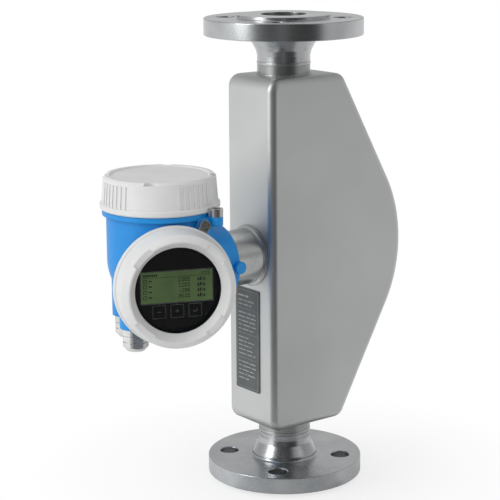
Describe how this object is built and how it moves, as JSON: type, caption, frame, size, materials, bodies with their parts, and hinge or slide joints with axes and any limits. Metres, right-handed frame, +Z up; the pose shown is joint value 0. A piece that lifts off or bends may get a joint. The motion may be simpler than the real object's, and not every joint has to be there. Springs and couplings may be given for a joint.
{
  "type": "coriolis flow meter",
  "caption": "Flanged inline mass flow meter: a flat steel pod with bent measuring tubes and a swivelling blue transmitter with a display and two screw covers.",
  "frame": {"origin": "centre of the lower raised sealing face, on the pipe axis", "axes": "+Z up the pipe, +X towards the bulge of the pod, -X towards the transmitter"},
  "size_m": [0.3392, 0.1664, 0.45],
  "materials": {
    "flange_steel": "turned, shiny stainless steel",
    "pipe_steel": "turned and polished stainless steel",
    "tube_steel": "drawn stainless tube",
    "housing_steel": "bead-blasted stainless sheet",
    "coil_copper": "enamelled copper winding",
    "magnet_iron": "nickel-free magnet, dull",
    "nameplate": "dark grey anodised plate",
    "blue_coat": "gloss powder coat",
    "grey_coat": "satin powder coat",
    "screw_steel": "machined stainless steel",
    "gland_nickel": "nickel-plated brass",
    "seal_rubber": "matt elastomer",
    "circuit_board": "solder-mask green",
    "terminal_plastic": "moulded plastic",
    "display_black": "glossy black front",
    "lcd": "green-grey liquid crystal panel",
    "window_glass": "clear toughened glass"
  },
  "bodies": {
    "sensor": {"flange_bottom": "flange_steel", "flange_top": "flange_steel", "manifold_bottom": "pipe_steel", "manifold_top": "pipe_steel", "measuring_tube_front": "tube_steel", "measuring_tube_rear": "tube_steel", "brace_plate_bottom": "tube_steel", "brace_plate_top": "tube_steel", "drive_coil": "coil_copper", "drive_magnet": "magnet_iron", "pickoff_coils": "coil_copper", "pickoff_magnets": "magnet_iron", "housing_shell_front": "housing_steel", "housing_shell_rear": "housing_steel", "nameplate": "nameplate", "neck_tube": "pipe_steel"},
    "transmitter": {"transmitter_housing": "blue_coat", "neck_lock_screw": "screw_steel", "main_electronics": "circuit_board", "terminal_block": "terminal_plastic", "terminal_screws": "screw_steel", "display_holder": "terminal_plastic", "electronics_cover_clamp": "screw_steel", "display_cover_clamp": "screw_steel", "clamp_screws": "screw_steel", "gland_body_front": "gland_nickel", "gland_body_rear": "gland_nickel", "gland_nut_front": "gland_nickel", "gland_nut_rear": "gland_nickel", "gland_seal_front": "seal_rubber", "gland_seal_rear": "seal_rubber"},
    "electronics_seal_ring": {"electronics_cover_seal": "seal_rubber"},
    "electronics_lid": {"electronics_cover": "grey_coat"},
    "display_seal_ring": {"display_cover_seal": "seal_rubber"},
    "display_lid": {"display_cover": "grey_coat", "display_window": "window_glass", "window_retaining_ring": "screw_steel"},
    "display_unit": {"display_module": "display_black", "lcd_panel": "lcd"}
  },
  "joints": [
    {"name": "transmitter_turn", "type": "hinge", "parent": "sensor", "child": "transmitter", "pos_m": [-0.09, 0, 0.225], "axis": [1, 0, 0], "range_deg": [-175, 175]},
    {"name": "electronics_cover_travel", "type": "slide", "parent": "transmitter", "child": "electronics_seal_ring", "axis": [0, 0, 1], "range_m": [0, 0.01]},
    {"name": "electronics_cover_turn", "type": "hinge", "parent": "electronics_seal_ring", "child": "electronics_lid", "pos_m": [-0.143, 0, 0.2845], "axis": [0, 0, 1], "range_deg": [0, 1800]},
    {"name": "display_cover_travel", "type": "slide", "parent": "transmitter", "child": "display_seal_ring", "axis": [-0.3778, -0.9259, 0], "range_m": [0, 0.01]},
    {"name": "display_cover_turn", "type": "hinge", "parent": "display_seal_ring", "child": "display_lid", "pos_m": [-0.16189, -0.04629, 0.2233], "axis": [-0.3778, -0.9259, 0], "range_deg": [0, 1800]},
    {"name": "display_module_turn", "type": "hinge", "parent": "transmitter", "child": "display_unit", "pos_m": [-0.16189, -0.04629, 0.2233], "axis": [-0.3778, -0.9259, 0], "range_deg": [-180, 180]}
  ],
  "couplings": [
    {"joint": "electronics_cover_travel", "follows": "electronics_cover_turn", "m_per_rad": 0.00031828},
    {"joint": "display_cover_travel", "follows": "display_cover_turn", "m_per_rad": 0.00031828}
  ]
}
